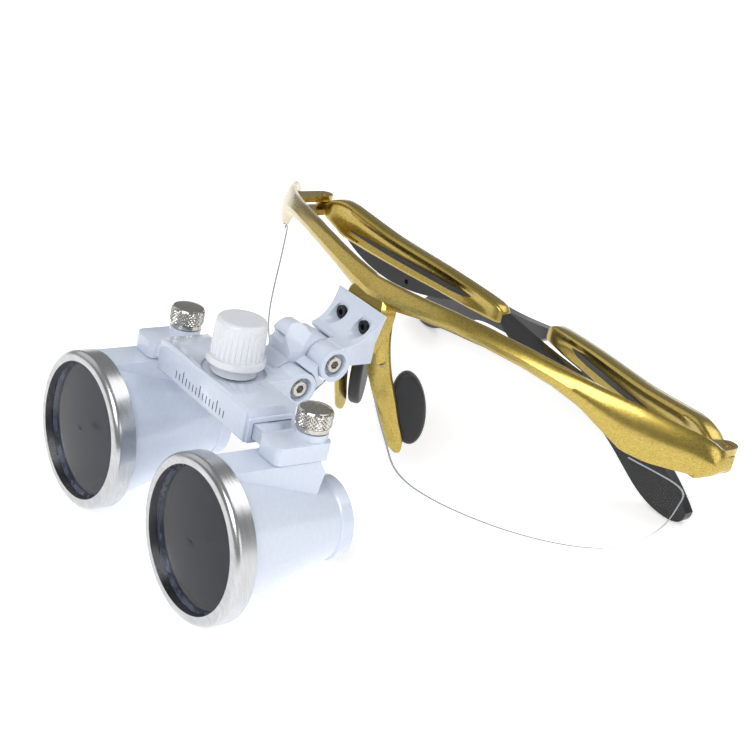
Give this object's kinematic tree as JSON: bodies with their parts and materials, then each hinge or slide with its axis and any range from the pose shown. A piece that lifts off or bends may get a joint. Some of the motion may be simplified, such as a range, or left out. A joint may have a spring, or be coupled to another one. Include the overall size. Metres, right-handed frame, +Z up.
{
  "type": "dental loupes",
  "caption": "Wrap-lens spectacles with flip-up magnifying telescopes on a pupil-distance crossbar, folded and resting on a table.",
  "frame": {"origin": "centre of the bounding box at table height", "axes": "+X towards the wearer's left, -Y the way the wearer looks, +Z up from the table"},
  "size_m": [0.1428, 0.1134, 0.0478],
  "materials": {
    "black_anodised": "matte black anodised aluminium",
    "black_plastic": "satin black moulded polymer",
    "black_silicone": "matte black silicone",
    "clear_lens": "clear hard-coated lens",
    "gold_lacquer": "satin champagne-gold metallic lacquer on alloy",
    "nickel": "polished nickel plate",
    "optical_glass": "coated optical glass",
    "satin_aluminium": "satin anodised aluminium",
    "steel": "blackened stainless steel",
    "white_lacquer": "glossy white lacquer on aluminium",
    "white_plastic": "glossy white moulded knob"
  },
  "bodies": {
    "frame": {"brow_frame": "gold_lacquer", "left_lens": "clear_lens", "right_lens": "clear_lens", "left_nose_pad": "black_silicone", "right_nose_pad": "black_silicone", "mount_bracket": "white_lacquer", "bracket_screws": "nickel", "left_hinge_screw": "nickel", "right_hinge_screw": "nickel"},
    "left_temple": {"left_temple_shell": "gold_lacquer", "left_temple_core": "black_plastic"},
    "right_temple": {"right_temple_shell": "gold_lacquer", "right_temple_core": "black_plastic"},
    "link": {"flip_link": "white_lacquer", "lower_pivot_screw": "steel", "upper_pivot_screw": "steel"},
    "crossbar": {"crossbar_housing": "white_lacquer", "crossbar_cover": "white_lacquer", "cover_screws": "steel"},
    "knob": {"pd_knob": "white_plastic", "pinion_shaft": "steel"},
    "left_slide": {"left_slide_arm": "white_lacquer"},
    "left_clamp": {"left_clamp_screw": "nickel"},
    "left_telescope": {"left_barrel": "white_lacquer", "left_objective_ring": "satin_aluminium", "left_objective_lens": "optical_glass", "left_light_baffle": "black_anodised", "left_eyepiece_lens": "optical_glass", "left_eyepiece_ring": "black_anodised"},
    "right_slide": {"right_slide_arm": "white_lacquer"},
    "right_clamp": {"right_clamp_screw": "nickel"},
    "right_telescope": {"right_barrel": "white_lacquer", "right_objective_ring": "satin_aluminium", "right_objective_lens": "optical_glass", "right_light_baffle": "black_anodised", "right_eyepiece_lens": "optical_glass", "right_eyepiece_ring": "black_anodised"}
  },
  "joints": [
    {"name": "left_temple_fold", "type": "hinge", "parent": "frame", "child": "left_temple", "pos_m": [0.06643, 0.0354, 0.02711], "axis": [-0.0229, -0.202, -0.9791], "range_deg": [0, 83]},
    {"name": "right_temple_fold", "type": "hinge", "parent": "frame", "child": "right_temple", "pos_m": [-0.06653, 0.0354, 0.03021], "axis": [0.0229, 0.202, 0.9791], "range_deg": [0, 88.5]},
    {"name": "upper_pivot_tilt", "type": "hinge", "parent": "frame", "child": "link", "pos_m": [0.00004, -0.01123, 0.03276], "axis": [-0.9997, 0, 0.0234], "range_deg": [-10, 30]},
    {"name": "lower_pivot_tilt", "type": "hinge", "parent": "link", "child": "crossbar", "pos_m": [-0.00003, -0.01929, 0.02983], "axis": [-0.9997, 0, 0.0234], "range_deg": [-20, 25]},
    {"name": "pd_knob_turn", "type": "hinge", "parent": "crossbar", "child": "knob", "pos_m": [0.00021, -0.02945, 0.03999], "axis": [0.0229, 0.202, 0.9791], "range_deg": [0, 466]},
    {"name": "left_pd_slide", "type": "slide", "parent": "crossbar", "child": "left_slide", "axis": [0.9997, 0, -0.0234], "range_m": [0, 0.013]},
    {"name": "left_clamp_turn", "type": "hinge", "parent": "left_slide", "child": "left_clamp", "pos_m": [0.02318, -0.02752, 0.03395], "axis": [0.0229, 0.202, 0.9791], "range_deg": [0, 360]},
    {"name": "left_telescope_swivel", "type": "hinge", "parent": "left_slide", "child": "left_telescope", "pos_m": [0.02302, -0.02893, 0.02709], "axis": [0.0229, 0.202, 0.9791], "range_deg": [-8, 8]},
    {"name": "right_pd_slide", "type": "slide", "parent": "crossbar", "child": "right_slide", "axis": [-0.9997, 0, 0.0234], "range_m": [0, 0.013]},
    {"name": "right_clamp_turn", "type": "hinge", "parent": "right_slide", "child": "right_clamp", "pos_m": [-0.02301, -0.02752, 0.03503], "axis": [0.0229, 0.202, 0.9791], "range_deg": [0, 360]},
    {"name": "right_telescope_swivel", "type": "hinge", "parent": "right_slide", "child": "right_telescope", "pos_m": [-0.02317, -0.02893, 0.02817], "axis": [0.0229, 0.202, 0.9791], "range_deg": [-8, 8]}
  ],
  "couplings": [
    {"joint": "pd_knob_turn", "follows": "left_pd_slide", "rad_per_m": 625},
    {"joint": "right_pd_slide", "follows": "left_pd_slide", "ratio": 1}
  ]
}
